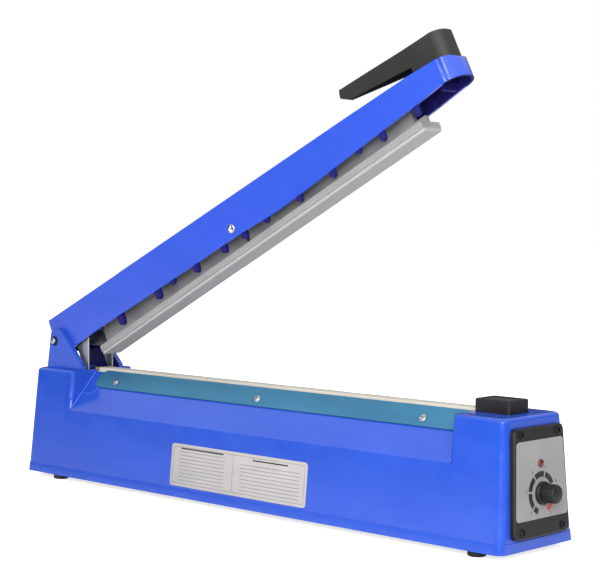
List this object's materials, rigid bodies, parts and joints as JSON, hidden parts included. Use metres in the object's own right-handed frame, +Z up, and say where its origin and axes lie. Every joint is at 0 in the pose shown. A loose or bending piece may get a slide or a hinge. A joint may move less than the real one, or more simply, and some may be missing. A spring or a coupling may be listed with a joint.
{
  "type": "impulse heat sealer",
  "caption": "Hand-operated impulse sealer for film bags: blue moulded base with a sealing ridge, sprung lever arm with a floating pressure bar, timer panel and press button",
  "frame": {"origin": "middle of the bounding box of the open sealer, on the surface it stands on", "axes": "+X runs along the base from the hinge to the control panel, +Y is the far side (across), +Z is up; the arm is open"},
  "size_m": [0.576, 0.09, 0.3837],
  "materials": {
    "base_plastic": "injection-moulded blue ABS, satin gloss",
    "sheet_steel": "zinc-plated sheet steel",
    "rubber": "moulded black rubber",
    "screws": "zinc-plated screws and pins",
    "black_fastener": "black oxide steel",
    "aluminium": "extruded aluminium, matt",
    "insulation": "woven glass insulation tape",
    "element": "nickel-chrome ribbon",
    "brass": "turned brass",
    "ptfe": "PTFE-coated glass cloth",
    "clamp_paint": "teal painted steel strip",
    "spring_steel": "spring wire",
    "core": "laminated transformer steel, varnished",
    "coil": "varnished winding and wrap",
    "board": "circuit board",
    "dark_part": "moulded thermoset",
    "panel_plastic": "moulded black ABS, fine texture",
    "label": "printed grey film",
    "lamp_red": "dark red lens",
    "silicone": "grey silicone strip"
  },
  "bodies": {
    "base": {"base_shell": "base_plastic", "bottom_plate": "sheet_steel", "spring_anchor": "sheet_steel", "feet": "rubber", "cord_gland": "rubber", "bottom_screws": "screws", "clamp_screws": "screws", "hinge_pin": "screws", "panel_screws": "black_fastener", "pin_washers": "black_fastener", "seal_rail": "aluminium", "insulating_strip": "insulation", "heating_element": "element", "terminal_rear": "brass", "terminal_front": "brass", "ptfe_cloth": "ptfe", "clamp_plates": "clamp_paint", "lift_springs": "spring_steel", "button_spring": "spring_steel", "transformer_core": "core", "transformer_coil": "coil", "timer_board": "board", "timer_pot": "dark_part", "micro_switch": "dark_part", "panel_frame": "panel_plastic", "panel_label": "label", "side_label": "label", "lamp": "lamp_red"},
    "arm": {"arm_shell": "base_plastic", "hinge_bracket": "sheet_steel", "cross_screw": "screws", "bar_springs": "spring_steel", "handle": "panel_plastic", "handle_screws": "screws"},
    "bar": {"pressure_bar": "aluminium", "silicone_strip": "silicone"},
    "button": {"push_button": "panel_plastic"},
    "knob": {"timer_knob": "panel_plastic"}
  },
  "joints": [
    {"name": "arm_hinge", "type": "hinge", "parent": "base", "child": "arm", "pos_m": [-0.2672, 0, 0.1253], "axis": [0, 1, 0], "range_deg": [0, 26.7], "stiffness_Nm_per_rad": 3, "springref_deg": -45.84, "deforming": ["lift_springs"]},
    {"name": "pressure_bar_float", "type": "slide", "parent": "arm", "child": "bar", "axis": [-0.4493, 0, 0.8934], "range_m": [0, 0.0108], "deforming": ["bar_springs"]},
    {"name": "press_button_slide", "type": "slide", "parent": "base", "child": "button", "axis": [0, 0, -1], "range_m": [0, 0.0035], "stiffness_N_per_m": 400, "springref_m": -0.004, "deforming": ["button_spring"]},
    {"name": "timer_knob_turn", "type": "hinge", "parent": "base", "child": "knob", "pos_m": [0.2729, 0, 0.0452], "axis": [0.9986, 0, 0.0522], "range_deg": [0, 270]}
  ],
  "couplings": [
    {"joint": "pressure_bar_float", "follows": "arm_hinge", "m_per_rad": 0.02317}
  ]
}
